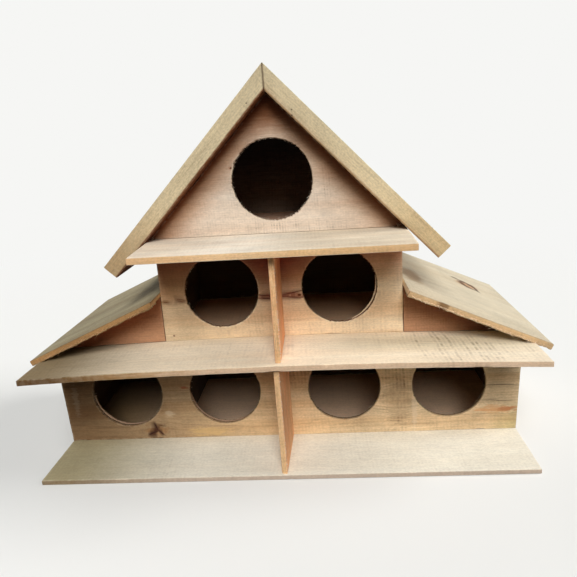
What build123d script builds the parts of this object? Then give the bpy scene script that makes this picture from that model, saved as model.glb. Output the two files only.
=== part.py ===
from build123d import *
import os
from math import atan2, cos, degrees, radians, sin, sqrt, tan

os.makedirs("parts", exist_ok=True)

# A free-standing wooden dovecote in three tiers, knocked together from sawn boards.
# The bottom tier holds four nest boxes, the middle tier two and the attic one.
# Each tier's floor runs on in front of its wall as a landing board.
#
# Millimetres. X runs to the right along the front, Y to the back, Z up. The origin is on
# the ground below the middle of the middle tier, on the front walls' outer face.

# --- Boards -------------------------------------------------------------------------
board = 9.0  # walls, partitions, wing roofs and the bottom floor
deck_board = 10.5
attic_floor_board = 12.0
divider_board = 10.0  # upright dividers on the landings
plank = 31.0  # the two thick planks of the main roof

# --- Overall sizes of the tiers -----------------------------------------------------
bottom_width = 919.0  # at the foot
bottom_drift = -2.5  # its middle stands this much further right than the middle tier's
bottom_splay = 7.5  # each side wall leans out by this much from the floor to the deck
middle_width = 471.0
box_depth = 306.0  # from the front walls' outer face to the back walls' outer face
bottom_height = 207.0  # clear height at the middle, floor to deck
middle_height = 193.0  # clear height at the middle, deck to attic floor

# --- Landings: how far each tier's floor stands out in front of its wall --------------
bottom_landing = 147.0
middle_landing = 153.0
top_landing = 167.0
bottom_divider_setback = 4.0  # divider's front edge behind the landing's front edge
middle_divider_setback = 12.0
bottom_divider_skew = 5.0  # its back end stands this much further right than its front
middle_divider_skew = -2.0
bottom_divider_lean = -2.5  # its top stands this much further right than its foot

# --- The wide deck between the tiers, bowed so that both ends sit lower. Its ends are
# flush with the tops of the leaning side walls ---------------------------------------
deck_bow = 10.0  # drop of each end below the middle

# --- Main roof ------------------------------------------------------------------------
roof_pitch = 46.3  # degrees
attic_floor_overhang = 7.1  # past the middle tier's side walls
landing_end_tapers = {"left": 8.6, "right": 2.6}  # narrowing of the top landing to the front
roof_overhang = 38.0  # past the attic panels, front and back
roof_plank_lengths = {"left": 438.0, "right": 427.0}  # along the underside

# --- Wing roofs: lean-to boards from the middle tier's sides to the deck's ends --------
wing_rise = 100.5  # underside at the wall above the deck's end
wing_front_overhang = 67.0
wing_back_overhang = 47.0
wing_eaves = {"left": 15.0, "right": 31.0}  # along the slope, past the deck's end
wing_top_gaps = {"left": 0.0, "right": 4.0}  # top edge of the upper end to the side wall

# --- Nest holes -----------------------------------------------------------------------
hole_diameter = 143.0
attic_hole_diameter = 147.0
attic_hole_drift = -4.2  # centre below that of the largest circle that fits the panel
bottom_hole_drifts = (17.5, -9.0, 4.0, -18.5)  # from the middle of each nest box
middle_hole_drifts = (4.0, -3.0)

# --- Heights and widths that follow from the sizes above --------------------------------
sides = {"left": -1, "right": 1}
bottom_half = bottom_width / 2
middle_half = middle_width / 2
bottom_ends = {side: sign * bottom_half + bottom_drift for side, sign in sides.items()}
deck_ends = {side: bottom_ends[side] + sign * bottom_splay for side, sign in sides.items()}
deck_half = bottom_half + bottom_splay
attic_half = middle_half + attic_floor_overhang
floor_top = board
deck_under_middle = floor_top + bottom_height
deck_top_middle = deck_under_middle + deck_board
attic_floor_under = deck_top_middle + middle_height
attic_floor_top = attic_floor_under + attic_floor_board
back_face = box_depth - board  # inner face of the back walls
bow_radius = (deck_half**2 + deck_bow**2) / (2 * deck_bow)
roof_angle = radians(roof_pitch)
ridge_under = attic_floor_top + attic_half * tan(roof_angle)  # where the undersides meet
ridge_top = ridge_under + plank / cos(roof_angle)
attic_hole_centre = attic_floor_top + attic_half * tan(roof_angle / 2) + attic_hole_drift


def bow(x):
    """How far the bowed deck lies below its own middle at a distance x from it."""
    return bow_radius - sqrt(bow_radius**2 - x**2)


def deck_arc(left, right, middle_height_of_arc):
    """The deck's bowed line between two places across the front."""
    middle = (left + right) / 2
    ends = [(x, middle_height_of_arc - bow(x)) for x in (left, middle, right)]
    return ThreePointArc(*ends)


def bottom_tier_outline(left, right, left_lean=0, right_lean=0):
    """Front outline of a board that stands on the bottom floor, under the bowed deck.

    left and right are its places on the floor. Each edge's top is a lean further right.
    """
    top = deck_arc(left + left_lean, right + right_lean, deck_under_middle)
    Polyline(top @ 1, (right, floor_top), (left, floor_top), top @ 0)


def middle_tier_outline(left, right):
    """Front outline of a board that stands on the bowed deck, under the attic floor."""
    foot = deck_arc(left, right, deck_top_middle)
    Polyline(foot @ 1, (right, attic_floor_under), (left, attic_floor_under), foot @ 0)


def standing_at(y):
    """The upright plane across the dovecote whose boards start at depth y."""
    return Plane.XZ.offset(-y)


def nest_box_middles(width, count, drift=0):
    """Middles of equal nest boxes side by side, about a middle that is off by the drift."""
    pitch = width / count
    return [drift + (place - (count - 1) / 2) * pitch for place in range(count)]


def finish(piece, label):
    """Labels a piece and writes it."""
    piece.part.label = label
    export_step(piece.part, f"parts/{label}.step")


# --- Bottom tier ----------------------------------------------------------------------
bottom_middles = nest_box_middles(bottom_width, len(bottom_hole_drifts), bottom_drift)
bottom_hole_places = [
    (middle + drift, floor_top + bottom_height / 2)
    for middle, drift in zip(bottom_middles, bottom_hole_drifts)
]

with BuildPart() as bottom_floor:
    with BuildSketch(Plane.XY):
        with Locations((bottom_drift, (box_depth - bottom_landing) / 2)):
            Rectangle(bottom_width, box_depth + bottom_landing)
    extrude(amount=board)
finish(bottom_floor, "bottom_floor")

with BuildPart() as bottom_front_wall:
    with BuildSketch(standing_at(0)):
        with BuildLine():
            bottom_tier_outline(*bottom_ends.values(), -bottom_splay, bottom_splay)
        make_face()
        with Locations(*bottom_hole_places):
            Circle(hole_diameter / 2, mode=Mode.SUBTRACT)
    extrude(amount=-board)
finish(bottom_front_wall, "bottom_front_wall")

with BuildPart() as bottom_back_wall:
    with BuildSketch(standing_at(back_face)):
        with BuildLine():
            bottom_tier_outline(*bottom_ends.values(), -bottom_splay, bottom_splay)
        make_face()
    extrude(amount=-board)
finish(bottom_back_wall, "bottom_back_wall")

# side walls and partitions run from the front wall to the back wall
bottom_uprights = {
    "bottom_left_side": (bottom_ends["left"] + board / 2, -bottom_splay),
    "bottom_left_partition": ((bottom_middles[0] + bottom_middles[1]) / 2, 0),
    "bottom_centre_partition": ((bottom_middles[1] + bottom_middles[2]) / 2, 0),
    "bottom_right_partition": ((bottom_middles[2] + bottom_middles[3]) / 2, 0),
    "bottom_right_side": (bottom_ends["right"] - board / 2, bottom_splay),
}
for label, (place, lean) in bottom_uprights.items():
    with BuildPart() as bottom_upright:
        with BuildSketch(standing_at(board)):
            with BuildLine():
                bottom_tier_outline(place - board / 2, place + board / 2, lean, lean)
            make_face()
        extrude(amount=-(back_face - board))
    finish(bottom_upright, label)

bottom_divider_run = Vector(bottom_divider_skew, bottom_landing - bottom_divider_setback, 0)
bottom_divider_foot = -(bottom_divider_skew + bottom_divider_lean) / 2
with BuildPart() as bottom_landing_divider:
    with BuildSketch(standing_at(bottom_divider_setback - bottom_landing)):
        with BuildLine():
            bottom_tier_outline(
                bottom_divider_foot - divider_board / 2,
                bottom_divider_foot + divider_board / 2,
                bottom_divider_lean,
                bottom_divider_lean,
            )
        make_face()
    extrude(amount=bottom_divider_run.length, dir=bottom_divider_run)
finish(bottom_landing_divider, "bottom_landing_divider")

# --- Middle tier ----------------------------------------------------------------------
middle_middles = nest_box_middles(middle_width, len(middle_hole_drifts))
middle_hole_places = [
    (middle + drift, deck_top_middle + middle_height / 2)
    for middle, drift in zip(middle_middles, middle_hole_drifts)
]

with BuildPart() as middle_deck:
    with BuildSketch(standing_at(-middle_landing)):
        with BuildLine():
            deck_top_line = deck_arc(*deck_ends.values(), deck_top_middle)
            deck_under_line = deck_arc(*deck_ends.values(), deck_under_middle)
            Line(deck_top_line @ 0, deck_under_line @ 0)
            Line(deck_top_line @ 1, deck_under_line @ 1)
        make_face()
    extrude(amount=-(middle_landing + box_depth))
finish(middle_deck, "middle_deck")

with BuildPart() as middle_front_wall:
    with BuildSketch(standing_at(0)):
        with BuildLine():
            middle_tier_outline(-middle_half, middle_half)
        make_face()
        with Locations(*middle_hole_places):
            Circle(hole_diameter / 2, mode=Mode.SUBTRACT)
    extrude(amount=-board)
finish(middle_front_wall, "middle_front_wall")

with BuildPart() as middle_back_wall:
    with BuildSketch(standing_at(back_face)):
        with BuildLine():
            middle_tier_outline(-middle_half, middle_half)
        make_face()
    extrude(amount=-board)
finish(middle_back_wall, "middle_back_wall")

middle_uprights = {
    "middle_left_side": -middle_half + board / 2,
    "middle_partition": (middle_middles[0] + middle_middles[1]) / 2,
    "middle_right_side": middle_half - board / 2,
}
for label, place in middle_uprights.items():
    with BuildPart() as middle_upright:
        with BuildSketch(standing_at(board)):
            with BuildLine():
                middle_tier_outline(place - board / 2, place + board / 2)
            make_face()
        extrude(amount=-(back_face - board))
    finish(middle_upright, label)

middle_divider_run = Vector(middle_divider_skew, middle_landing - middle_divider_setback, 0)
middle_divider_foot = -middle_divider_skew / 2
with BuildPart() as middle_landing_divider:
    with BuildSketch(standing_at(middle_divider_setback - middle_landing)):
        with BuildLine():
            middle_tier_outline(
                middle_divider_foot - divider_board / 2,
                middle_divider_foot + divider_board / 2,
            )
        make_face()
    extrude(amount=middle_divider_run.length, dir=middle_divider_run)
finish(middle_landing_divider, "middle_landing_divider")

# --- Wings ----------------------------------------------------------------------------
# A wing roof's underside lies on the end edge of the deck and meets the middle tier's
# side. The left one's upper end is cut plumb, the right one's nearly square, and both
# lower ends are cut square.
for side, sign in sides.items():
    eave = wing_eaves[side]
    top_gap = wing_top_gaps[side]
    reach = abs(deck_ends[side])
    foot_height = deck_top_middle - bow(reach)
    under_at_wall = foot_height + wing_rise
    angle = atan2(wing_rise, reach - middle_half)
    top_at_wall = under_at_wall + board / cos(angle)
    under_end = (reach + eave * cos(angle), foot_height - eave * sin(angle))
    top_end = (under_end[0] + board * sin(angle), under_end[1] + board * cos(angle))
    print(f"{side} wing roof pitch {degrees(angle):.1f} degrees")
    with BuildPart() as wing_roof:
        with BuildSketch(standing_at(-wing_front_overhang)):
            with BuildLine():
                Polyline(
                    (sign * middle_half, under_at_wall),
                    (sign * under_end[0], under_end[1]),
                    (sign * top_end[0], top_end[1]),
                    (sign * (middle_half + top_gap), top_at_wall - top_gap * tan(angle)),
                    close=True,
                )
            make_face()
        extrude(amount=-(wing_front_overhang + box_depth + wing_back_overhang))
    finish(wing_roof, f"{side}_wing_roof")

    # three-cornered panels close the wing between deck and roof, flush with the walls
    for end, depth in {"front": 0, "back": back_face}.items():
        with BuildPart() as wing_panel:
            with BuildSketch(standing_at(depth)):
                with BuildLine():
                    foot = deck_arc(sign * middle_half, deck_ends[side], deck_top_middle)
                    Polyline(foot @ 1, (sign * middle_half, under_at_wall), foot @ 0)
                make_face()
            extrude(amount=-board)
        finish(wing_panel, f"{side}_wing_{end}_panel")

# --- Attic ----------------------------------------------------------------------------
with BuildPart() as attic_floor:
    with BuildSketch(Plane.XY.offset(attic_floor_under)):
        front_left = landing_end_tapers["left"] - attic_half
        front_right = attic_half - landing_end_tapers["right"]
        with BuildLine():
            Polyline(
                (-attic_half, box_depth),
                (-attic_half, 0),
                (front_left, -top_landing),
                (front_right, -top_landing),
                (attic_half, 0),
                (attic_half, box_depth),
                close=True,
            )
        make_face()
    extrude(amount=attic_floor_board)
finish(attic_floor, "attic_floor")

for label, depth in {"attic_front_panel": 0, "attic_back_panel": back_face}.items():
    with BuildPart() as attic_panel:
        with BuildSketch(standing_at(depth)):
            with BuildLine():
                Polyline(
                    (-attic_half, attic_floor_top),
                    (attic_half, attic_floor_top),
                    (0, ridge_under),
                    close=True,
                )
            make_face()
            if label == "attic_front_panel":
                with Locations((0, attic_hole_centre)):
                    Circle(attic_hole_diameter / 2, mode=Mode.SUBTRACT)
        extrude(amount=-board)
    finish(attic_panel, label)

# The planks are mitred plumb at the ridge and cut square at the eaves. Their undersides
# rest on the ends of the attic floor and on the attic panels.
for side, sign in sides.items():
    length = roof_plank_lengths[side]
    under_end = (length * cos(roof_angle), ridge_under - length * sin(roof_angle))
    top_end = (under_end[0] + plank * sin(roof_angle), under_end[1] + plank * cos(roof_angle))
    with BuildPart() as roof_plank:
        with BuildSketch(standing_at(-roof_overhang)):
            with BuildLine():
                Polyline(
                    (0, ridge_under),
                    (sign * under_end[0], under_end[1]),
                    (sign * top_end[0], top_end[1]),
                    (0, ridge_top),
                    close=True,
                )
            make_face()
        extrude(amount=-(roof_overhang + box_depth + roof_overhang))
    finish(roof_plank, f"{side}_roof_plank")

print(f"ridge {ridge_top:.0f} mm above the ground")
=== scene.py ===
import random
from math import atan2, ceil, copysign, cos, pi, radians, sin

import bmesh
import bpy
import numpy as np
from mathutils import Matrix, Vector, noise
from mathutils.bvhtree import BVHTree
from mathutils.geometry import delaunay_2d_cdt
from mathutils.kdtree import KDTree


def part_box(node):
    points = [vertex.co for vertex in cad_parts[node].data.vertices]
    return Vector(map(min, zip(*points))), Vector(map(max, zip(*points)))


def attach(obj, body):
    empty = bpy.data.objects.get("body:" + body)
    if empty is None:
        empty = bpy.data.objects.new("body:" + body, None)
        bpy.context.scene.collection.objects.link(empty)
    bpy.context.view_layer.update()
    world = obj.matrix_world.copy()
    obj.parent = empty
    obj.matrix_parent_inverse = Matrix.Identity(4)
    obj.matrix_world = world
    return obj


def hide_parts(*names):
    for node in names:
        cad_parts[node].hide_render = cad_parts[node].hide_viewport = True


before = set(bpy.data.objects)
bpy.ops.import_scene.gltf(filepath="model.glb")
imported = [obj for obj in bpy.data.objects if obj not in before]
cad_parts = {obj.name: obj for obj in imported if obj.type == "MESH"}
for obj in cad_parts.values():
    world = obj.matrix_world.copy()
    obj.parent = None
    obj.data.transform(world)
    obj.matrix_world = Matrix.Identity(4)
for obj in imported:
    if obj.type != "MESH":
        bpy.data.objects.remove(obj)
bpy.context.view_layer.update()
scene = bpy.context.scene

# A hand-made wooden dovecote, knocked together from rough sawn boards. Each board of the
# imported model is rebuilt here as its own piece: the same board with sawn, worn and chipped
# edges, and with the grain running along it. Metres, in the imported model's frame: X runs
# to the right along the front, Y to the back and Z up.

TO_RIGHT = Vector((1, 0, 0))
TO_BACK = Vector((0, 1, 0))
UP = Vector((0, 0, 1))
TO_FRONT = -TO_BACK
LOWER_RIGHT = Vector((0.5, 0, -0.87))
NOWHERE = Vector((0, 0, 0))
SIGNS = {"left": -1, "right": 1}

CAMERA_PLACE = (0.0973, -1.0768, 0.6139)
CAMERA_TURN = (74.866, 3.662, 3.267)  # degrees
CAMERA_LENS = 36.16  # millimetres, for a sensor 36 wide


def put_camera():
    """A camera a little to the right of the middle, looking slightly down on the front."""
    data = bpy.data.cameras.new("camera")
    data.sensor_width = 36
    data.lens = CAMERA_LENS
    camera = bpy.data.objects.new("camera", data)
    camera.location = CAMERA_PLACE
    camera.rotation_euler = [radians(angle) for angle in CAMERA_TURN]
    scene.collection.objects.link(camera)
    scene.camera = camera


# --- Shader nodes ---
class Wires:
    """Short ways to add nodes to a shader tree, called w where they are used.

    A value is a socket to link, or a plain number or colour.
    """

    def __init__(self, tree):
        self.tree = tree
        tree.nodes.clear()

    def add(self, kind, inputs=None, **settings):
        """Adds a node, sets it up, fills its inputs by name or number, and gives its outputs."""
        made = self.tree.nodes.new("ShaderNode" + kind)
        for key, value in settings.items():
            setattr(made, key, value)
        for key, value in (inputs or {}).items():
            if isinstance(value, bpy.types.NodeSocket):
                self.tree.links.new(value, made.inputs[key])
            else:
                made.inputs[key].default_value = value
        return made.outputs

    def math(self, operation, *values, clamp=False):
        """A Math node's result."""
        inputs = dict(enumerate(values))
        return self.add("Math", inputs, operation=operation, use_clamp=clamp)[0]

    def times(self, product, *others):
        """Numbers multiplied, in their order."""
        for other in others:
            product = self.math("MULTIPLY", product, other)
        return product

    def plus(self, total, *others):
        """Numbers added, in their order."""
        for other in others:
            total = self.math("ADD", total, other)
        return total

    def vector(self, operation, *values):
        """A Vector Math node's result."""
        outputs = self.add("VectorMath", dict(enumerate(values)), operation=operation)
        return outputs["Value" if operation == "LENGTH" else "Vector"]

    def scaled(self, vector, factor):
        """A vector or colour times a number."""
        return self.add("VectorMath", {"Vector": vector, "Scale": factor}, operation="SCALE")["Vector"]

    def ramp(self, value, low, high, to_low=0, to_high=1):
        """Value as it goes smoothly from low to high, turned into to_low to to_high."""
        names = ("Value", "From Min", "From Max", "To Min", "To Max")
        inputs = dict(zip(names, (value, low, high, to_low, to_high)))
        return self.add("MapRange", inputs, interpolation_type="SMOOTHSTEP")["Result"]

    def mix(self, factor, below, above, mode="MIX"):
        """A colour mix: above over below, as far as factor says."""
        inputs = {0: factor, 6: below, 7: above}
        return self.add("Mix", inputs, data_type="RGBA", blend_type=mode)[2]

    def cloud(self, place, scale, detail, roughness=0.55):
        """Noise from 0 to 1. Three scales stretch it: along the grain, across and through."""
        if isinstance(scale, tuple):
            place, scale = self.vector("MULTIPLY", place, scale), 1
        inputs = {"Vector": place, "Scale": scale, "Detail": detail, "Roughness": roughness}
        return self.add("TexNoise", inputs)["Fac"]

    def chance(self, value):
        """A random number from 0 to 1 that changes with the value's whole part."""
        inputs = {"W": self.math("FLOOR", value)}
        return self.add("TexWhiteNoise", inputs, noise_dimensions="1D")["Value"]

    def turned(self, place, turn, start=(0, 0, 0)):
        """A place in a board's own directions: along the grain, across it and through."""
        inputs = {"Vector": place, "Location": start, "Rotation": turn}
        return self.add("Mapping", inputs, vector_type="POINT")["Vector"]

    def seen(self):
        """1 where the camera sees the surface, straight or by gloss or glass, and else 0."""
        ray = self.add("LightPath")
        bounced = self.math("ADD", ray["Is Glossy Ray"], ray["Is Transmission Ray"])
        return self.math("ADD", ray["Is Camera Ray"], bounced, clamp=True)


def new_material(name):
    """A new material and its wires."""
    material = bpy.data.materials.new(name)
    material.use_nodes = True
    return material, Wires(material.node_tree)


def shade(red, green, blue):
    """A colour written as it shows on a screen, 0 to 255, as a linear shader colour."""
    levels = [level / 255 for level in (red, green, blue)]
    levels = [
        level / 12.92 if level <= 0.04045 else ((level + 0.055) / 1.055) ** 2.4 for level in levels
    ]
    return [*levels, 1]


# --- Sawn wood ---
COLOURS = ("Pale", "Warm", "Dark")
STRENGTHS = ("Rings", "Streaks", "Blotches", "Saw Marks", "Speckle", "Saw Pitch")
RING_PITCH = 0.004
SAW_SLANT = 0.04


def make_sawn_wood():
    """The node group that every board's material shares.

    Place is in metres with X along the grain, and the tree's heart is the line Y = Z = 0.
    So the growth rings are the same rings on a board's face, its edge and its end.
    """
    group = bpy.data.node_groups.new("sawn_wood", "ShaderNodeTree")
    for way, kind, names in (
        ("INPUT", "Vector", ("Place",)),
        ("INPUT", "Color", COLOURS),
        ("INPUT", "Float", STRENGTHS),
        ("OUTPUT", "Color", ("Colour",)),
        ("OUTPUT", "Float", ("Height", "Roughness")),
    ):
        for name in names:
            group.interface.new_socket(name, in_out=way, socket_type="NodeSocket" + kind)
    w = Wires(group)
    given = group.nodes.new("NodeGroupInput").outputs
    place = given["Place"]

    # growth rings, which wander as the trunk did
    stretched = w.vector("MULTIPLY", place, (1.6, 9, 9))
    sway = w.add("TexNoise", {"Vector": stretched, "Scale": 1, "Detail": 2})["Color"]
    sway = w.vector("MULTIPLY", w.vector("SUBTRACT", sway, (0.5, 0.5, 0.5)), (0, 0.03, 0.03))
    trunk = w.vector("MULTIPLY", w.vector("ADD", place, sway), (0, 1, 1))
    uneven = w.times(w.cloud(place, (2, 30, 30), 2), 1.6)
    ring = w.plus(w.math("DIVIDE", w.vector("LENGTH", trunk), RING_PITCH), uneven)
    within = w.math("FRACT", ring)
    late_wood = w.times(
        w.math("POWER", within, 3),
        w.ramp(within, 0.93, 1, 1, 0),
        w.ramp(w.chance(ring), 0, 1, 0.35, 1),
    )

    # fibres, from broad bands to hair lines
    band = w.cloud(place, (1.1, 26, 26), 3)
    streak = w.cloud(place, (6, 170, 170), 4, 0.65)
    hair = w.cloud(place, (26, 620, 620), 3, 0.65)
    blotch = w.cloud(place, (9, 14, 14), 5, 0.65)
    speckle = w.cloud(place, (230, 420, 420), 2, 0.6)

    # marks of the saw across the board: parallel lines, some deep and some missing
    along, across, _ = w.add("SeparateXYZ", {"Vector": place})
    line = w.math("DIVIDE", w.math("MULTIPLY_ADD", across, SAW_SLANT, along), given["Saw Pitch"])
    line = w.math("MULTIPLY_ADD", w.cloud(place, (14, 9, 9), 2), 1.4, line)
    off_line = w.math("ABSOLUTE", w.math("SUBTRACT", w.math("FRACT", line), 0.4))
    saw = w.times(
        w.ramp(off_line, 0.05, 0.5, 1, 0),
        w.ramp(w.chance(line), 0, 1, 0.25, 1),
        w.ramp(w.cloud(place, (60, 75, 75), 3, 0.6), 0.36, 0.64, 0.1, 1),
        w.ramp(w.cloud(place, (5, 11, 11), 2), 0.36, 0.62, 0.15, 1),
        given["Saw Marks"],
    )

    # colour
    tan = w.math("MULTIPLY", w.ramp(band, 0.3, 0.75), given["Blotches"], clamp=True)
    colour = w.mix(tan, given["Pale"], given["Warm"])
    ringed = w.math("MULTIPLY", late_wood, given["Rings"], clamp=True)
    colour = w.mix(ringed, colour, given["Dark"])
    colour = w.mix(w.times(w.ramp(streak, 0.5, 0.75), given["Streaks"]), colour, given["Dark"])
    grimy = w.scaled(given["Dark"], 0.6)
    colour = w.mix(w.math("MULTIPLY", saw, 0.6, clamp=True), colour, grimy)
    light = w.plus(
        w.times(w.ramp(blotch, 0.25, 0.75, -0.2, 0.2), given["Blotches"]),
        w.ramp(hair, 0.3, 0.7, -0.06, 0.06),
        w.times(w.ramp(speckle, 0.3, 0.7, -1, 1), given["Speckle"]),
        1,
    )

    # relief in millimetres: proud late wood, torn fibres and saw cuts
    height = w.times(late_wood, 0.1)
    for part, reach in ((hair, 0.2), (streak, 0.2), (speckle, 0.2), (saw, -0.2)):
        height = w.plus(height, w.times(part, reach))
    result = group.nodes.new("NodeGroupOutput").inputs
    group.links.new(w.scaled(colour, light), result["Colour"])
    group.links.new(height, result["Height"])
    group.links.new(w.ramp(hair, 0.2, 0.8, 0.74, 0.95), result["Roughness"])
    return group


sawn_wood = make_sawn_wood()


KNOT_SHAPE = Vector((0.62, 1, 0.2))  # a knot is longer along the grain and through the board
HARD = 1.1  # the solid share of a mark with a hard rim
GONE = 1.15  # how far from its middle a mark has faded away, in half sizes
ALL = 9  # a half size in metres that takes in the whole of any board
STRAIGHT = 99  # a half size so long that a hard mark's rim stays straight
TO_WALLS = 1.13  # the walls' faces lie here in a hard mark's fade, from HARD to GONE
SHORT_OF_RIM = 1.17  # and a roof board's rim lies here, just beyond the fade
INSIDE_DEPTH = 0.006  # how far into a board the dirt and painted shade of the nest boxes reach


class Knot:
    """A knot: its middle and its half width across the grain. One with no core is a swirl."""

    def __init__(self, x, y, z, size, has_core=True):
        self.middle = (x, y, z)
        self.shares = KNOT_SHAPE / size
        self.has_core = has_core


class Mark:
    """A stain, painted shade, a bleached patch or a patch of saw marks: its middle and half sizes.

    A stain darkens the wood that it lies on, and a patch that covers hides it. A mark may
    lean in the board's plane, and one with a depth reaches only so far into the board.
    It is at full strength over its solid share, and gone a little beyond its size. A patch
    of saw marks has no colour.
    """

    def __init__(self, x, y, z, along, across, colour, strength, fray=0.5, **more):
        depth = more.get("depth")
        self.middle = (x, y, z)
        self.shares = (1 / along, 1 / across, 1 / depth if depth else 0)
        self.colour = colour and shade(*colour)
        self.strength = strength
        self.fray = fray
        self.solid = more.get("solid", 0.45)
        self.lean = radians(more.get("lean", 0))
        self.mode = "MIX" if more.get("covers") else "MULTIPLY"

    def strength_at(self, w, where, place, turn):
        """How strongly it shows, from the board's own place and its place in the wood."""
        apart = w.turned(w.vector("SUBTRACT", where, self.middle), turn)
        if self.lean:
            apart = w.turned(apart, (0, 0, -self.lean))
        distance = w.vector("LENGTH", w.vector("MULTIPLY", apart, self.shares))
        frayed = w.cloud(place, (40, 260, 260), 4, 0.7)
        distance = w.plus(distance, w.ramp(frayed, 0.3, 0.7, -self.fray, self.fray))
        return w.ramp(distance, self.solid, GONE, self.strength, 0)


def shading(x, y, z, along, across, colour, fray=0.02, solid=0.1, **more):
    """A broad and soft change of tone, in many places painted shade."""
    return Mark(x, y, z, along, across, colour, 1, fray, solid=solid, **more)


FRESH = shade(240, 222, 190)  # the palest newly broken wood, and the colour of a painted highlight on holes' far rims
KNOT_HALO = shade(158, 98, 58)
KNOT_CORE = shade(98, 52, 30)
CRACKED = (62, 32, 20)
STAIN = (150, 130, 112)
WEATHERED = (255, 245, 252)
# dirt and painted shade for the faces inside the nest boxes
INSIDE_DIRT_AND_SHADE = (126, 114, 104)
# dust and painted shade on the floors inside the nest boxes
DUST_AND_SHADE = (255, 226, 206)
# a soft grey patch on the right wing roof by the wall
GREY_PATCH = (196, 178, 164)
# painted shade, bluish, high inside the attic
COLD_SHADE = (104, 112, 132)
SHADED = (206, 148, 128)
BLEACHED = (232, 214, 186)


def board_material(name, along, across, look, seed, knots=(), marks=(), saw_patches=(), cracked=CRACKED):
    """A board's own wood. Look gives the shared group's inputs and the colour of the edges."""
    material, w = new_material(name)
    pick = random.Random(seed)
    turn = Matrix((along, across, along.cross(across))).to_euler()
    where = w.add("TexCoord")["Object"]
    heart = (pick.uniform(-9, 9), pick.uniform(-0.03, 0.03), pick.uniform(0.05, 0.09))
    place = w.turned(where, turn, heart)

    # the grain flows round each knot
    core_distances = []
    for knot in knots:
        apart = w.turned(w.vector("SUBTRACT", where, knot.middle), turn)
        distance = w.vector("LENGTH", w.vector("MULTIPLY", apart, knot.shares))
        distance = w.math("MULTIPLY_ADD", w.cloud(where, 260, 2), 0.35, distance)
        near = w.ramp(distance, 0.8, 4.2, -0.62, 0)
        shift = w.times(w.add("SeparateXYZ", {"Vector": apart})["Y"], near)
        place = w.vector("ADD", place, w.add("CombineXYZ", {"Y": shift})["Vector"])
        if knot.has_core:
            core_distances.append(distance)

    inputs = {key: look[key] for key in (*COLOURS, *STRENGTHS)}
    inputs["Place"] = place
    for patch in saw_patches:
        more = patch.strength_at(w, where, place, turn)
        inputs["Saw Marks"] = w.plus(more, inputs["Saw Marks"])
    wood = w.add("Group", inputs, node_tree=sawn_wood)
    colour = wood["Colour"]
    for mark in marks:
        factor = mark.strength_at(w, where, place, turn)
        colour = w.mix(factor, colour, mark.colour, mark.mode)
    for distance in core_distances:
        colour = w.mix(w.ramp(distance, 0.9, 2.4, 0.45, 0), colour, KNOT_HALO)
        colour = w.mix(w.ramp(distance, 0.75, 1.1, 1, 0), colour, KNOT_CORE)

    # sawn sides have their own tint, and corners are a little paler where they are worn; on the far rims of
    # holes that pale is also a painted highlight
    side, wear, crack = (
        w.add("Attribute", attribute_name=name)["Fac"] for name in ("side", "wear", "crack")
    )
    edge_tint = [edge / face for edge, face in zip(look["Edge"], look["Warm"])]
    colour = w.mix(side, colour, edge_tint, "MULTIPLY")
    worn = w.times(wear, w.ramp(w.cloud(where, 90, 3), 0.35, 0.65, 0, 0.6))
    fresh = [(own + pale) / 2 for own, pale in zip(look["Pale"], FRESH)]
    colour = w.mix(worn, colour, fresh)
    # the dark of cracks and joints, and the painted shade on the rims of holes
    colour = w.mix(crack, colour, shade(*cracked))

    inputs = {
        "Base Color": colour,
        "Roughness": wood["Roughness"],
        "Specular IOR Level": 0.25,
        "Normal": w.add("Bump", {"Height": wood["Height"], "Distance": 0.001})["Normal"],
    }
    w.add("OutputMaterial", {"Surface": w.add("BsdfPrincipled", inputs)[0]})
    return material


# --- Board meshes ---
WELD = 1e-5  # corners nearer than this are one
SAME_EDGE = 1e-4  # corners that differ less than this lie on one edge
BROAD = 0.9  # cosine between a broad face's normal and the way through the board
RIM_STEPS = (0.0013, 0.0045)  # rows of corners beside an edge, in from it
ROW_SHARES = (0.72, 0.15)  # how far the edge's wear moves each of these rows
RIM_PITCH = 0.0014  # between corners round a hole
SIDE_PITCH = 0.008  # between rows of corners on a board's side
WEAR_REACH = 0.006  # how far down a side the wear of its edge is felt
GRID_ROOM = 0.0085  # between a rim and the grid
CLEAR = 0.93  # the share of its distance from its own rim that a corner keeps from every rim
CRACK_ROOM = 0.0035  # between a crack and other corners
CRACK_DEPTH = 0.0022
CRACK_PITCH = 0.003
CRACK_SWAY = 0.0012
CROSSING_DEPTH = 0.001  # where a crack runs into another or into a rim
CROSSING_DARK = 0.8
SAME_POINT = 1e-7
FAR_SEED = 31  # added to a board's seed for its far face
RIPPLE = 0.00012  # half the depth of the ripples on a board's side
BAREST = 1.6  # the most that a part of a hole's rim counts as newly broken


def rough(place, scale, seed):
    """Noise from -1 to 1 at a place, at a scale of so many lumps to the metre."""
    return noise.noise(Vector(place) * scale + Vector((seed * 7.13, seed * 3.71, seed * 5.39)))


def sawn_edge(place, seed):
    """How far a sawn edge has worn back: a little all along, with a few chips."""
    worn = 0.00012 + 0.0001 * (1 + rough(place, 45, seed)) + 0.00012 * (1 + rough(place, 260, seed))
    chip = max(0, rough(place, 28, seed + 3) - 0.42) * 0.005
    return worn + chip


def hidden_edge(place, seed):
    """An edge out of sight."""
    return 0.0004 + 0.0002 * (1 + rough(place, 60, seed))


def torn_edge(place, seed):
    """An edge that the saw has torn: small teeth and some longer bites."""
    teeth = 0.0002 * (1 + rough(place, 300, seed)) + 0.0002 * (1 + rough(place, 120, seed + 1))
    bite = max(0, rough(place, 50, seed + 3) - 0.35) * 0.004
    return 0.0001 + teeth + bite


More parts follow.
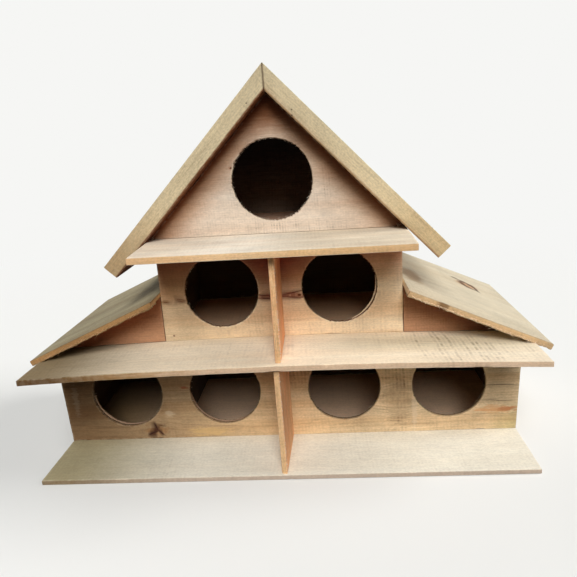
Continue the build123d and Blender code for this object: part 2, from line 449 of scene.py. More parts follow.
def hole_edge(place, seed):
    """The edge of a hole cut by hand: wavering, with torn teeth in places."""
    worn = 0.0003 + 0.0004 * (1 + rough(place, 24, seed)) + 0.0002 * (1 + rough(place, 260, seed))
    torn = max(0, 0.4 + rough(place, 9, seed + 6)) * abs(rough(place, 190, seed + 3)) * 0.0042
    return worn + torn


def bitten(place, seed):
    """How far a tooth of the hand saw has bitten into a hole's whole rim."""
    return max(0, 0.25 + rough(place, 14, seed + 9)) * abs(rough(place, 230, seed + 10)) * 0.0055


def even(value):
    """A joint's darkness that is the same all round a board, or a lip's reach."""
    return lambda place: value


RIDGE_HALF = 0.0015  # half the width of the joint at the ridge
WING_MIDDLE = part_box("middle_deck")[0].y + 0.12  # well behind a wing roof's front edge
NOTHING = even(0)
TIGHT_JOINT = even(0.8)
SOFT_JOINT = even(0.5)


def front_lip(place):
    """The torn wood that hangs under a wing roof's front edge."""
    if place.y > WING_MIDDLE:
        return 0
    return 0.0018 + 0.0011 * rough(place, 70, 3) + 0.0026 * abs(rough(place, 260, 4))


def at_the_ridge(place):
    """The dark line where the two main roof boards meet."""
    return 0.8 if abs(place.x) < RIDGE_HALF else 0


def rim_loops(faces):
    """The closed rows of corners round faces, longest first. The wood lies on their left."""
    patch = set(faces)
    follow = {}
    for face in faces:
        for corner in face.loops:
            others = [other for other in corner.edge.link_faces if other is not face]
            if not any(other in patch for other in others):
                follow[corner.vert] = corner.link_loop_next.vert
    loops = []
    while follow:
        first = next(iter(follow))
        row = []
        while first in follow:
            row.append(first.co.copy())
            first = follow.pop(first)
        loops.append(row)
    return sorted(loops, key=lambda row: -sum((a - b).length for a, b in zip(row, row[1:] + row[:1])))


def in_same_order(near, far_loops, through):
    """The far side's rim that answers a near one, its corners in the near one's order."""
    rows = []
    for far in far_loops:
        if len(far) == len(near):
            turned = far[::-1]
            rows += [turned[start:] + turned[:start] for start in range(len(turned))]
    return min(rows, key=lambda row: sum((a - b).cross(through).length for a, b in zip(near, row)))


def divided(near, far, pitch):
    """Both rims with the same number of corners, at most pitch apart."""
    near_row, far_row = [], []
    for a, b, c, d in zip(near, near[1:] + near[:1], far, far[1:] + far[:1]):
        count = max(1, ceil(max((b - a).length, (d - c).length) / pitch))
        near_row += [a.lerp(b, k / count) for k in range(count)]
        far_row += [c.lerp(d, k / count) for k in range(count)]
    return near_row, far_row


def inward(row, through):
    """At each corner of a rim, the way into the wood in the plane of the face."""
    ways = []
    for before, here, after in zip(row[-1:] + row[:-1], row, row[1:] + row[:1]):
        way = through.cross((here - before).normalized()) + through.cross((after - here).normalized())
        way = way / max(way.length_squared / 2, 0.5)
        ways.append(way - through * way.dot(through))
    return ways


def add_piece(name, shape, material, crease=50):
    """A new piece that rides on the root. Its edges are sharp beyond the crease, in degrees."""
    mesh = bpy.data.meshes.new(name)
    mesh.from_pydata([tuple(corner) for corner in shape.corners], [], shape.faces)
    mesh.materials.append(material)
    mesh.shade_smooth()
    mesh.set_sharp_from_angle(angle=radians(crease))
    piece = bpy.data.objects.new(name, mesh)
    scene.collection.objects.link(piece)
    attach(piece, "root")
    return piece


class Board:
    """A board rebuilt from its CAD node's two broad faces, with its own wood.

    Edge gives how far its edges have worn back, seam the darkness of a joint at a corner,
    and lip how far torn wood hangs there. Bare is the side of each hole that is newly
    broken and pale. Pitch and grid are between corners along its edges and on its faces.
    """

    def __init__(
        self, node, slot, along, through, look, seed, edge=sawn_edge, pitch=0.006, grid=0.012,
        bare=LOWER_RIGHT, seam=NOTHING, lip=NOTHING, cracks=(), **wood
    ):
        self.along = along.normalized()
        self.through = through.normalized()
        self.across = self.through.cross(self.along).normalized()
        self.seed = seed
        self.grid = grid
        self.bare = bare
        self.seam = seam
        self.lip = lip
        self.corners = []
        self.faces = []
        self.paint = []
        self.hole_rims = []
        bm = bmesh.new()
        bm.from_mesh(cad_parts[node].data)
        bmesh.ops.remove_doubles(bm, verts=bm.verts, dist=WELD)
        bm.normal_update()
        self.tree = BVHTree.FromBMesh(bm)
        near_loops, far_loops = (
            rim_loops([face for face in bm.faces if face.normal.dot(way) > BROAD])
            for way in (self.through, -self.through)
        )
        bm.free()
        rims = []
        for number, near in enumerate(near_loops):
            is_hole = number > 0
            far = in_same_order(near, far_loops, self.through)
            near, far = divided(near, far, RIM_PITCH if is_hole else pitch)
            rims.append(self.rim(near, far, hole_edge if is_hole else edge, is_hole))
            if is_hole:
                self.hole_rims.append((near, far))
        self.sheet(rims, "near", 1, cracks)
        self.sheet(rims, "far", -1, ())
        material = board_material(node + "_wood", self.along, self.across, look, seed, **wood)
        piece = add_piece(node + "_board", self, material, crease=38)
        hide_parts(node)
        for name, values in zip(("wear", "side", "crack"), zip(*self.paint)):
            layer = piece.data.attributes.new(name, "FLOAT", "POINT").data
            layer.foreach_set("value", values)

    def put(self, place, wear=0, side=0, crack=0):
        """Adds a corner and gives its number."""
        self.corners.append(place)
        self.paint.append((wear, side, crack))
        return len(self.corners) - 1

    def flat(self, place, facing):
        """A place in the face's own two directions."""
        return (place.dot(self.along) * facing, place.dot(self.across))

    def solid(self, flat, facing):
        """The place in space that answers one in the face's own two directions."""
        return self.along * (flat[0] * facing) + self.across * flat[1]

    def on_face(self, place, normal):
        """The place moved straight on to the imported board's broad face, or None beside it."""
        start = place + normal * (2 - place.dot(normal))
        hit, facing = self.tree.ray_cast(start, -normal)[:2]
        return hit if hit is not None and facing.dot(normal) > BROAD else None

    def rim(self, near, far, wear, is_hole):
        """The side of the board along one rim, with its corners worn back."""
        ways = inward(near, self.through)
        thickness = (near[0] - far[0]).length
        edge = RIM_STEPS[0]
        inner = thickness - 2 * edge
        middle_count = max(1, ceil(inner / SIDE_PITCH))
        middles = [edge + inner * k / middle_count for k in range(1, middle_count)]
        near_back = [wear(place, self.seed) for place in near]
        far_back = [wear(place, self.seed + FAR_SEED) for place in far]
        bites = [bitten(place, self.seed) if is_hole else 0 for place in near]
        bares = [max(0, min(BAREST, 2 * way.dot(self.bare))) if is_hole else 0 for way in ways]
        rows = []
        for step in (0, edge, *middles, thickness - edge, thickness):
            at_corner = step in (0, thickness)
            near_share, far_share = (
                max(0, 1 - reach / WEAR_REACH) * 0.5 for reach in (step, thickness - step)
            )
            row = []
            for i, way in enumerate(ways):
                place = near[i].lerp(far[i], step / thickness)
                if step == 0:
                    move = (way - self.through) * near_back[i]
                elif step == thickness:
                    move = (way + self.through) * far_back[i]
                    if not is_hole:
                        move = move - self.through * self.lip(place)
                else:
                    ripple = RIPPLE * (1 + rough(place, 170, self.seed + 5))
                    move = way * (near_share * near_back[i] + far_share * far_back[i] + ripple)
                # worn corners are pale. A hole's far rim is pale, with torn fibres and a painted highlight,
                # while its inner face and its near corner away from the bare side are darkened as painted
                # shade
                dark = self.seam(place)
                if not is_hole:
                    pale = 0 if self.lip(place) else 0.5 if at_corner else 0.125
                elif step == thickness:
                    pale = 2.2
                elif at_corner:
                    pale = 2 * bares[i]
                    dark = max(0, 0.5 * (1 - bares[i]) * (0.5 + 0.7 * rough(place, 45, self.seed + 8)))
                else:
                    pale = 0.3
                    dark = 0.15 + 0.35 * bares[i]
                side = 0.3 if at_corner else 0.5 if is_hole else 1
                row.append(self.put(place + (move + way * bites[i]), pale, side, dark))
            rows.append(row)
        for upper, lower in zip(rows, rows[1:]):
            for i in range(len(ways)):
                k = (i + 1) % len(ways)
                self.faces.append((upper[k], upper[i], lower[i], lower[k]))
        return {
            "near": (near, rows[0], [back + bite for back, bite in zip(near_back, bites)]),
            "far": (far, rows[-1], [back + bite for back, bite in zip(far_back, bites)]),
            "ways": ways,
            "bare": bares,
        }

    def sheet(self, rims, which, facing, cracks):
        """One broad face: its rims, rows of corners beside them, and a grid between."""
        normal = self.through * facing
        places, numbers, joins, extra = [], [], [], []
        for rim in rims:
            row, corner_numbers, worn_back = rim[which]
            start, count = len(places), len(row)
            places += [self.flat(place, facing) for place in row]
            numbers += corner_numbers
            joins += [(start + i, start + (i + 1) % count) for i in range(count)]
            for step, share in zip(RIM_STEPS, ROW_SHARES):
                for place, way, back, bare in zip(row, rim["ways"], worn_back, rim["bare"]):
                    wear = 0.35 + bare if step == RIM_STEPS[0] else 0
                    extra.append((place + way * step, way * back * share, step, wear))
        rim_tree = KDTree(len(places))
        for k, place in enumerate(places):
            rim_tree.insert((*place, 0), k)
        rim_tree.balance()

        low, high = np.min(places, 0), np.max(places, 0)
        counts = [max(2, round((high[k] - low[k]) / self.grid)) for k in (0, 1)]
        for i in range(1, counts[0]):
            for j in range(1, counts[1]):
                lean = 0.25 * ((j % 2) - 0.5)
                u = low[0] + (high[0] - low[0]) * (i + lean) / counts[0]
                v = low[1] + (high[1] - low[1]) * j / counts[1]
                extra.append((self.solid((u, v), facing), NOWHERE, GRID_ROOM, 0))
        crack_rows = [(crack.lips, crack.rows(self)) for crack in cracks]
        spines = [self.flat(place, facing) for _, rows in crack_rows for place in rows[1]]
        for place, move, step, wear in extra:
            flat = self.flat(place, facing)
            if rim_tree.find((*flat, 0))[2] < step * CLEAR:
                continue
            if any(abs(flat[0] - u) + abs(flat[1] - v) < CRACK_ROOM for u, v in spines):
                continue
            lifted = self.on_face(place, normal)
            if lifted is not None:
                places.append(flat)
                numbers.append(self.put(lifted + move, wear=wear))
        for lips, rows in crack_rows:
            for depth, row in zip((0, 1, 0), rows):
                for k, place in enumerate(row):
                    lifted = self.on_face(place, normal) or place
                    taper = sin(pi * k / (len(row) - 1))
                    dark = lips + (1 - lips) * depth * min(1, 2 * taper)
                    places.append(self.flat(place, facing))
                    numbers.append(self.put(lifted - normal * (CRACK_DEPTH * depth * taper), crack=dark))
                    if k:
                        joins.append((len(places) - 2, len(places) - 1))
        points = [Vector(place) for place in places]
        found, _, triangles, origins, _, _ = delaunay_2d_cdt(points, joins, [], 0, SAME_POINT)
        names = []
        for place, origin in zip(found, origins):
            if origin:
                names.append(numbers[min(origin)])
            else:
                crossing = self.solid(place, facing)
                lifted = self.on_face(crossing, normal) or crossing
                names.append(self.put(lifted - normal * CROSSING_DEPTH, crack=CROSSING_DARK))
        for triangle in triangles:
            p, q, r = (found[k] for k in triangle)
            if self.on_face(self.solid((p + q + r) / 3, facing), normal) is not None:
                a, b, c = (names[k] for k in triangle)
                self.faces.append((a, b, c) if (q - p).cross(r - p) > 0 else (a, c, b))


class Crack:
    """A narrow split in a board's near face, between two places. Lips is its rims' darkness."""

    def __init__(self, start, end, width, seed, bow=0, lips=0.15):
        self.start = Vector(start)
        self.end = Vector(end)
        self.width = width
        self.seed = seed
        self.bow = bow
        self.lips = lips

    def rows(self, board):
        """Its two lips and, between them, its bottom."""
        length = (self.end - self.start).length
        count = max(4, round(length / CRACK_PITCH))
        across = board.through.cross((self.end - self.start).normalized())
        rows = ([], [], [])
        for k in range(count + 1):
            share = k / count
            swell = sin(pi * share)
            place = self.start.lerp(self.end, share)
            place = place + across * (CRACK_SWAY * rough(place, 60, self.seed) + self.bow * swell)
            half = self.width * (0.35 + 0.65 * swell) / 2
            half *= 1 + 0.4 * rough(place, 150, self.seed + 2)
            for row, step in zip(rows, (-half, 0, half)):
                row.append(place + across * step)
        return rows


# --- Looks of the boards ---
def look(pale, warm, dark, edge, rings, streaks, blotches, saw, speckle=0.07, pitch=0.007):
    """Settings of the shared wood: its colours, and how strongly each pattern shows."""
    colours = [shade(*colour) for colour in (pale, warm, dark, edge)]
    values = (*colours, rings, streaks, blotches, saw, speckle, pitch)
    return dict(zip((*COLOURS, "Edge", *STRENGTHS), values))


LANDING = look((234, 228, 211), (225, 213, 191), (184, 162, 134), (198, 172, 148), 0.1, 0.08, 0.3, 0.2)
DECK = look(
    (242, 228, 203), (229, 205, 171), (162, 130, 95), (218, 180, 142), 0.12, 0.12, 0.4, 0.25, pitch=0.008
)
ATTIC_FLOOR = look((244, 237, 222), (232, 214, 191), (179, 147, 115), (247, 197, 142), 0.2, 0.15, 0.6, 0.2)
BOTTOM_WALL = look(
    (234, 210, 171), (210, 176, 133), (141, 99, 64), (153, 116, 78), 0.4, 0.35, 1, 0.25, 0.09
)
MIDDLE_WALL = look((250, 229, 195), (234, 197, 154), (179, 126, 84), (193, 151, 110), 0.2, 0.15, 0.8, 0.35)
ATTIC_PANEL = look(
    (227, 214, 197), (213, 188, 164), (154, 128, 105), (168, 132, 98), 0.15, 0.15, 0.8, 0.3, pitch=0.005
)
WING_PANEL = look(
    (194, 148, 113), (176, 121, 88), (111, 65, 46), (150, 103, 67), 0.2, 0.2, 0.6, 0.25, pitch=0.005
)
RIGHT_WING = look((205, 194, 170), (193, 176, 146), (141, 114, 85), (248, 221, 180), 0.1, 0.1, 0.6, 0.3, 0.1)
LEFT_WING = look((169, 158, 128), (155, 140, 109), (103, 86, 64), (218, 177, 127), 0.25, 0.3, 0.8, 0.4, 0.12)
ROOF = look((214, 209, 177), (195, 179, 146), (132, 112, 82), (202, 174, 136), 0.2, 0.35, 0.6, 0.25, 0.12)
DIVIDER = look((255, 205, 158), (247, 169, 122), (186, 112, 73), (236, 170, 119), 0.3, 0.25, 0.8, 0.3, 0.11)
PLAIN = look((234, 208, 170), (216, 182, 138), (164, 120, 80), (190, 150, 108), 0.4, 0.4, 0.7, 0.5)
# painted shade: a dark copy of the wood for the partitions inside the nest boxes
INSIDE = look((106, 92, 78), (92, 79, 66), (60, 50, 40), (92, 79, 66), 0.4, 0.4, 0.7, 0.4)
VENEER = look((250, 226, 194), (238, 206, 168), (196, 150, 108), (238, 206, 168), 0.2, 0.2, 0.6, 0.2)
SHADED_VENEER = look((168, 138, 112), (142, 112, 88), (98, 72, 54), (142, 112, 88), 0.3, 0.3, 0.7, 0.3)
TORN = look((204, 164, 120), (178, 132, 88), (122, 82, 52), (178, 132, 88), 0.3, 0.3, 0.7, 0.3)

# a board's slot, the way its grain runs, and the way out of its near face
FRONT = ("wall_wood", TO_RIGHT, TO_FRONT)
BACK = ("wall_wood", TO_RIGHT, TO_BACK)
LEFT_SIDE = ("wall_wood", TO_BACK, -TO_RIGHT)
RIGHT_SIDE = ("wall_wood", TO_BACK, TO_RIGHT)
INNER = ("inner_wood", TO_BACK, TO_RIGHT)


def dirt_and_shade_inside(x, y, z, colour=INSIDE_DIRT_AND_SHADE, across=ALL, solid=0.45):
    """Dirt and painted shade that darken a board's face inside the nest boxes."""
    return Mark(x, y, z, ALL, across, colour, 1, 0.05, depth=INSIDE_DEPTH, solid=solid)


def corners_of(node):
    """Where a CAD node's corners are."""
    return [corner.co.copy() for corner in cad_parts[node].data.vertices]


def slope_of(node):
    """A sloping board's way down, its upper face's normal, and its lower front edge.

    The edge is given by its two ends, the upper one first.
    """
    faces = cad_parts[node].data.polygons
    normal = max(faces, key=lambda face: face.area if face.normal.z > 0.3 else 0).normal.copy()
    down = Vector((copysign(normal.z, normal.x), 0, -abs(normal.x))).normalized()
    edge = corners_of(node)
    for way in (TO_BACK, normal):
        first = min(corner.dot(way) for corner in edge)
        edge = [corner for corner in edge if corner.dot(way) < first + SAME_EDGE]
    edge.sort(key=lambda corner: -corner.z)
    return down, normal, edge[0], edge[-1]


def build_bottom_wall():
    """The wide front wall: a dark left end, knots, splits and a rusty streak on the right."""
    return Board(
        "bottom_front_wall", *FRONT, BOTTOM_WALL, 11, bare=NOWHERE,
        knots=(
            Knot(-0.281, 0, 0.026, 0.011, has_core=False),
            Knot(0.226, 0, 0.082, 0.012, has_core=False),
            Knot(0.438, 0, 0.052, 0.004, has_core=False),
        ),
        marks=(
            Mark(-0.5, 0, 0.12, 0.42, ALL, (118, 94, 67), 0.9, 0.02, solid=0.1),
            shading(-0.14, 0, 0, 0.34, 0.14, (237, 229, 220), solid=0.3),
            # painted shade under the deck: reddish and darker at the wall's top, left of the middle
            shading(-0.1, 0, 0.225, 0.32, 0.12, (222, 184, 164)),
            shading(0.46, 0, 0.01, 0.07, 0.06, (226, 232, 215)),
            Mark(-0.28, 0, 0.03, 0.022, 0.012, (240, 200, 156), 0.5),
            Mark(-0.17, 0, 0.022, 0.05, 0.012, (226, 188, 124), 0.45, covers=True),
            Mark(-0.2475, 0, 0.064, 0.011, 0.007, BLEACHED, 0.34, covers=True),
            Mark(-0.4418, 0, 0.103, 0.007, 0.036, BLEACHED, 0.1, covers=True),
            Mark(-0.2104, 0, 0.1226, 0.009, 0.003, (150, 78, 56), 0.7, covers=True),
            Mark(0.225, 0, 0.08, 0.035, 0.06, STAIN, 0.4, 0.3),
            Mark(0.2555, 0, 0.065, 0.0055, 0.07, BLEACHED, 0.3, covers=True),
            Mark(0.419, 0, 0.053, 0.045, 0.0085, (212, 148, 92), 0.65, covers=True),
            Mark(0.44, 0, 0.0525, 0.02, 0.006, (176, 104, 62), 0.6, covers=True),
            dirt_and_shade_inside(0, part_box("bottom_front_wall")[1].y, 0.12),
        ),
        saw_patches=(
            Mark(0.222, 0, 0.09, 0.035, 0.09, None, 0.9),
            Mark(0.03, 0, 0.16, 0.06, 0.04, None, 0.6),
        ),
        cracks=(
            Crack((0.3958, 0, 0.1068), (0.4615, 0, 0.1043), 0.0018, 1),
            Crack((0.3888, 0, 0.073), (0.4512, 0, 0.0697), 0.0016, 2),
            Crack((-0.2825, 0, 0.043), (-0.2765, 0, 0.0265), 0.003, 3, lips=0.9),
            Crack((-0.275, 0, 0.04), (-0.264, 0, 0.0378), 0.0014, 4, lips=0.5),
            Crack((-0.2785, 0, 0.0255), (-0.2955, 0, 0.019), 0.0038, 5, lips=0.95),
            Crack((-0.274, 0, 0.0262), (-0.266, 0, 0.019), 0.0028, 6, lips=0.9),
            Crack((-0.294, 0, 0.013), (-0.282, 0, 0.0112), 0.0014, 14, lips=0.5),
            Crack((-0.2775, 0, 0.01), (-0.268, 0, 0.0108), 0.0012, 15, lips=0.5),
        ),
    )


def build_middle_wall():
    """The middle tier's front wall: small splits by the divider and at its left."""
    return Board(
        "middle_front_wall", *FRONT, MIDDLE_WALL, 12, cracked=(96, 40, 28),
        knots=(Knot(0.0376, 0, 0.309, 0.003),),
        marks=(
            # painted shade under the attic floor: reddish and darker towards the wall's top
            shading(0, 0, 0.425, ALL, 0.098, (188, 122, 104)),
            shading(-0.25, 0, 0.3, 0.3, ALL, (232, 228, 222), solid=0.3),
            shading(-0.26, 0, 0.36, 0.2, 0.09, (220, 196, 180)),
            # more painted shade under the middle of the attic floor
            shading(-0.01, 0, 0.41, 0.1, 0.12, (176, 112, 108)),
            Mark(0.024, 0, 0.3095, 0.028, 0.007, (176, 92, 66), 0.55, covers=True),
            Mark(-0.022, 0, 0.3085, 0.028, 0.005, (176, 92, 66), 0.5, covers=True),
            Mark(-0.2256, 0, 0.3073, 0.01, 0.0045, (160, 116, 78), 0.6, covers=True),
            Mark(-0.195, 0, 0.3082, 0.012, 0.005, (160, 112, 74), 0.5, covers=True),
            Mark(-0.2176, 0, 0.236, 0.0025, 0.0025, (110, 66, 52), 0.8, 0.2, covers=True),
            dirt_and_shade_inside(0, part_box("middle_front_wall")[1].y, 0.33),
        ),
        cracks=(
            Crack((-0.0462, 0, 0.313), (-0.006, 0, 0.3076), 0.002, 7, lips=0.6),
            Crack((-0.0462, 0, 0.3062), (-0.006, 0, 0.304), 0.002, 8, lips=0.6),
            Crack((0.0035, 0, 0.3107), (0.0462, 0, 0.3172), 0.0022, 9, lips=0.6),
            Crack((0.0035, 0, 0.3056), (0.0462, 0, 0.304), 0.0018, 10, lips=0.6),
            Crack((-0.231, 0, 0.3062), (-0.2205, 0, 0.3044), 0.0012, 11, lips=0.4),
            Crack((-0.2052, 0, 0.3122), (-0.1872, 0, 0.3088), 0.0011, 12, lips=0.4),
            Crack((-0.204, 0, 0.3064), (-0.1872, 0, 0.3043), 0.0013, 13, lips=0.4),
        ),
    )


def build_attic_panel():
    """The gable's front: pinkish wood with a small knot, with painted shadows of the roof boards along them
    and painted shade under the ridge.
    """
    marks = []
    # painted shadows that the roof boards cast on the panel: a narrow dark one and wider soft ones
    for side, bands in (
        ("left", ((0.016, (176, 124, 92)), (0.062, (206, 172, 146)))),
        ("right", ((0.02, (176, 138, 112)), (0.052, (186, 158, 136)), (0.1, (238, 226, 216)))),
    ):
        upper, lower = slope_of(f"{side}_roof_plank")[2:]
        middle = (upper + lower) / 2
        lean = -46 * SIGNS[side]
        for reach, tone in bands:
            marks.append(shading(middle.x, 0, middle.z, 0.6, reach, tone, 0.03, lean=lean))
    # painted shade under the ridge
    marks.append(Mark(0, 0, 0.69, 0.2, 0.08, (204, 172, 146), 1, 0.05))
    marks.append(dirt_and_shade_inside(0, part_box("attic_front_panel")[1].y, 0.5))
    return Board(
        "attic_front_panel", *FRONT, ATTIC_PANEL, 13, bare=-TO_RIGHT / 2, seam=SOFT_JOINT, marks=marks,
        knots=(Knot(-0.0738, 0, 0.5561, 0.0022),),
        saw_patches=(
            Mark(0.045, 0, 0.438, 0.07, 0.014, None, 1.1),
            Mark(0.098, 0, 0.53, 0.012, 0.026, None, 1.1),
        ),
    )


def build_plain_walls():
    """The back walls, the side walls and the panels that close the wings."""
    for seed, node in enumerate(("bottom_back_wall", "middle_back_wall"), 21):
        Board(node, *BACK, PLAIN, seed, marks=(dirt_and_shade_inside(0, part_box(node)[0].y, 0),))
    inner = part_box("attic_back_panel")[0].y
    marks = (
        # dirt and painted shade inside the attic: bluish, and darkest towards the top
        dirt_and_shade_inside(0, inner, 0, (150, 150, 160)),
        dirt_and_shade_inside(0, inner, 0.68, COLD_SHADE, 0.22, 0.4),
    )
    Board("attic_back_panel", *BACK, PLAIN, 23, marks=marks)
    # painted shade on the wing panels: along the wing roof's slope above them (tone), and at their outer
    # lower end (corner)
    for seed, side, tone, corner in (
        (31, "left", (206, 150, 128), (255, 236, 220)),
        (32, "right", (156, 116, 104), (120, 92, 94)),
    ):
        low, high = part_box(f"{side}_wing_front_panel")
        outer = low.x if side == "left" else high.x
        upper, lower = slope_of(f"{side}_wing_roof")[2:]
        middle = (upper + lower) / 2
        marks = (
            shading(outer, low.y, low.z, 0.13, ALL, corner),
            shading(middle.x, low.y, middle.z, 0.3, 0.05, tone, lean=-23 * SIGNS[side]),
        )
        Board(f"{side}_wing_front_panel", *FRONT, WING_PANEL, seed, marks=marks, seam=TIGHT_JOINT)
    for seed, side in enumerate(SIGNS, 33):
        Board(f"{side}_wing_back_panel", *BACK, WING_PANEL, seed)
    for first_seed, side, place, face in ((35, "left", LEFT_SIDE, 1), (37, "right", RIGHT_SIDE, 0)):
        for seed, tier in enumerate(("bottom", "middle"), first_seed):
            node = f"{tier}_{side}_side"
            Board(node, *place, BOTTOM_WALL, seed, marks=(dirt_and_shade_inside(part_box(node)[face].x, 0, 0),))


def build_insides():
    """The partitions between the nest boxes, in a dark copy of the wood as painted shade."""
    for seed, where in enumerate(("bottom_left", "bottom_centre", "bottom_right", "middle"), 41):
        Board(f"{where}_partition", *INNER, INSIDE, seed, hidden_edge, pitch=0.012, grid=0.03)


def build_floors():
    """The floors, which run on in front as landings, greyer towards their left ends, and darker inside the
    nest boxes with dust and painted shade.
    """
    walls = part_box("bottom_front_wall")[1].y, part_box("bottom_back_wall")[0].y
    middle, half = (walls[0] + walls[1]) / 2, (walls[1] - walls[0]) / 2
    for seed, node, wood, grey, reach, inside in (
        (51, "bottom_floor", LANDING, (178, 170, 144), 0.27, DUST_AND_SHADE),
        (52, "middle_deck", DECK, (146, 136, 116), 0.22, DUST_AND_SHADE),
        (53, "attic_floor", ATTIC_FLOOR, (236, 228, 220), 0.2, (248, 210, 190)),
    ):
        low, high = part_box(node)
        marks = [
            shading(low.x, low.y, high.z, reach, ALL, grey, 0.03),
            # dust and painted shade inside the nest boxes, ending at the walls' faces
            shading(0, middle, high.z, STRAIGHT, half / TO_WALLS, inside, solid=HARD),
        ]
        more = {}
        if node == "attic_floor":
            marks.append(shading(high.x, low.y, high.z, 0.3, ALL, (232, 226, 216), 0.03, 0.45))
        if node == "middle_deck":
            marks += [
                shading(low.x, low.y, high.z, 0.36, 0.004, (190, 170, 134), 0.1, 0.4),
                shading(0.3, low.y * 0.38, high.z, 0.28, 0.055, (238, 237, 230), solid=0.3),
            ]
            more["saw_patches"] = (Mark(0.33, -0.06, 0.22, 0.15, 0.09, None, 0.75),)
            split = Crack((0.0125, -0.056, high.z), (0.0195, -0.0552, high.z), 0.0006, 16, lips=0.2)
            more["cracks"] = (split,)
        Board(node, "floor_wood", TO_RIGHT, UP, wood, seed, marks=marks, **more)


def build_dividers():
    """The upright boards on the landings."""
    for seed, tier, tone in ((61, "bottom", (249, 247, 245)), (62, "middle", (238, 220, 206))):
        node = f"{tier}_landing_divider"
        low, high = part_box(node)
        foot = (ALL, tone, 0.02, 0.45) if tier == "bottom" else (0.14, tone, 0.3, 0.6)
        marks = (
            shading(0, high.y, high.z, 0.09, 0.12, SHADED, 0.2),
            shading(0, high.y, low.z, ALL, *foot),
        )
        Board(node, "divider_wood", UP, TO_RIGHT, DIVIDER, seed, torn_edge, 0.002, 0.01, marks=marks)


def build_roofs():
    """The wing roofs and the thick main roof, with the grain down their slopes."""
    for seed, side, wood, band, line, worn in (
        (71, "left", LEFT_WING, (196, 182, 162), (138, 84, 52), (216, 200, 184)),
        (72, "right", RIGHT_WING, (208, 192, 172), (196, 166, 146), (250, 240, 224)),
    ):
        node = f"{side}_wing_roof"
        down, normal, upper, _ = slope_of(node)
        marks, cracks = (), ()
        if side == "right":
            # a curved split that has let go of the wood beside it
            start, end = Vector((0.3826, 0.2583, 0.2613)), Vector((0.425, 0.1883, 0.2425))
            cracks = (
                Crack(start, end, 0.0055, 21, bow=0.017, lips=0.8),
                Crack(start.lerp(end, 0.3), end, 0.0045, 22, bow=-0.013, lips=0.8),
            )
            marks = (
                Mark(*start.lerp(end, 0.55), 0.03, 0.03, (226, 190, 166), 0.8, 0.2),
                # a soft grey patch by the wall
                Mark(0.262, 0.09, 0.31, 0.028, 0.07, GREY_PATCH, 0.9, 0.15),
                Mark(0.3, -0.066, 0.298, 0.012, 0.006, STAIN, 0.8, 0.3),
            )
        marks += (shading(*upper, ALL, 0.0045, band, 0.55, 0.55),)
        options = {"marks": marks, "cracks": cracks, "lip": front_lip}
        Board(node, "wing_roof_wood", down, normal, wood, seed, torn_edge, 0.002, **options)

        node = f"{side}_roof_plank"
        down, normal, upper, lower = slope_of(node)
        low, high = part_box(node)
        middle, half = (low.y + high.y) / 2, (high.y - low.y) / 2
        marks = (
            # painted shade on the plank's underside and the lowest strip of its front face, reddish brown on
            # the left
            shading(*upper, ALL, ALL, line, 0.1, 0.3, depth=0.004),
            shading(*lower, 0.17, ALL, worn, 0.03),
            shading(0, middle, upper.z, ALL, half / SHORT_OF_RIM, WEATHERED, solid=HARD),
        )
        options = {"marks": marks, "pitch": 0.004, "seam": at_the_ridge}
        Board(node, "roof_plank_wood", down, normal, ROOF, seed + 10, **options)


# --- Splinters and nails ---
WING_SPLINTERS = 260  # on each wing roof's front edge
DIVIDER_SPLINTERS = 90  # on each divider's front edge
HOLE_SPLINTERS = ((45, 0.0022), (80, 0.0034))  # how many, and the longest, on each near and far rim
ROOT_DEPTH = 0.0004  # how deep in the wood a splinter starts
LAYER_STEPS = 80  # parts that a torn layer's curve is made of
LAYER_DEPTHS = (0.0032, 0.0036, 0.0064, 0.0068)  # its four long edges, behind the wall's face


class Scraps:
    """Small loose shapes that are gathered into one piece."""

    def __init__(self, seed):
        self.pick = random.Random(seed)
        self.corners = []
        self.faces = []

    def ring(self, middle, outward, radius, turns):
        """Corners round a middle, at these turns."""
        aside = outward.orthogonal().normalized()
        other = outward.cross(aside)
        for turn in turns:
            self.corners.append(middle + (aside * cos(turn) + other * sin(turn)) * radius)

    def band(self, start, count):
        """Faces between a ring of corners and the next one."""
        for k in range(count):
            a, b = start + k, start + (k + 1) % count
            self.faces.append((a, b, b + count, a + count))

    def splinter(self, root, way, length, width):
        """A torn fibre: three-sided, thick at its root, bent, and ending in a point."""
        way = way.normalized()
        bend = Vector([self.pick.uniform(-0.35, 0.35) for _ in range(3)])
        start = len(self.corners)
        for share in (-0.08, 0.3, 0.65):
            middle = root + way * (length * share) + bend * (length * max(0, share) ** 2)
            self.ring(middle, way, width * (1 - 0.8 * max(0, share)) / 2, (0, 2.1, 4.2))
        self.corners.append(root + way * length + bend * length)
        self.band(start, 3)
        self.band(start + 3, 3)
        for k in range(3):
            self.faces.append((start + 6 + k, start + 6 + (k + 1) % 3, start + 9))

    def nail(self, place, outward, radius=0.0016, count=12):
        """A nail's head, driven just below flush, a little domed and a little askew."""
        askew = Vector([self.pick.uniform(-0.08, 0.08) for _ in range(3)])
        outward = (outward + askew).normalized()
        start = len(self.corners)
        turns = [2 * pi * k / count for k in range(count)]
        for reach, lift in ((1, -0.0008), (1, -0.00005), (0.82, 0.0001), (0.4, 0.0002)):
            self.ring(place + outward * lift, outward, radius * reach, turns)
        for level in range(3):
            self.band(start + count * level, count)
        self.faces.append(tuple(range(start + 3 * count, start + 4 * count)))


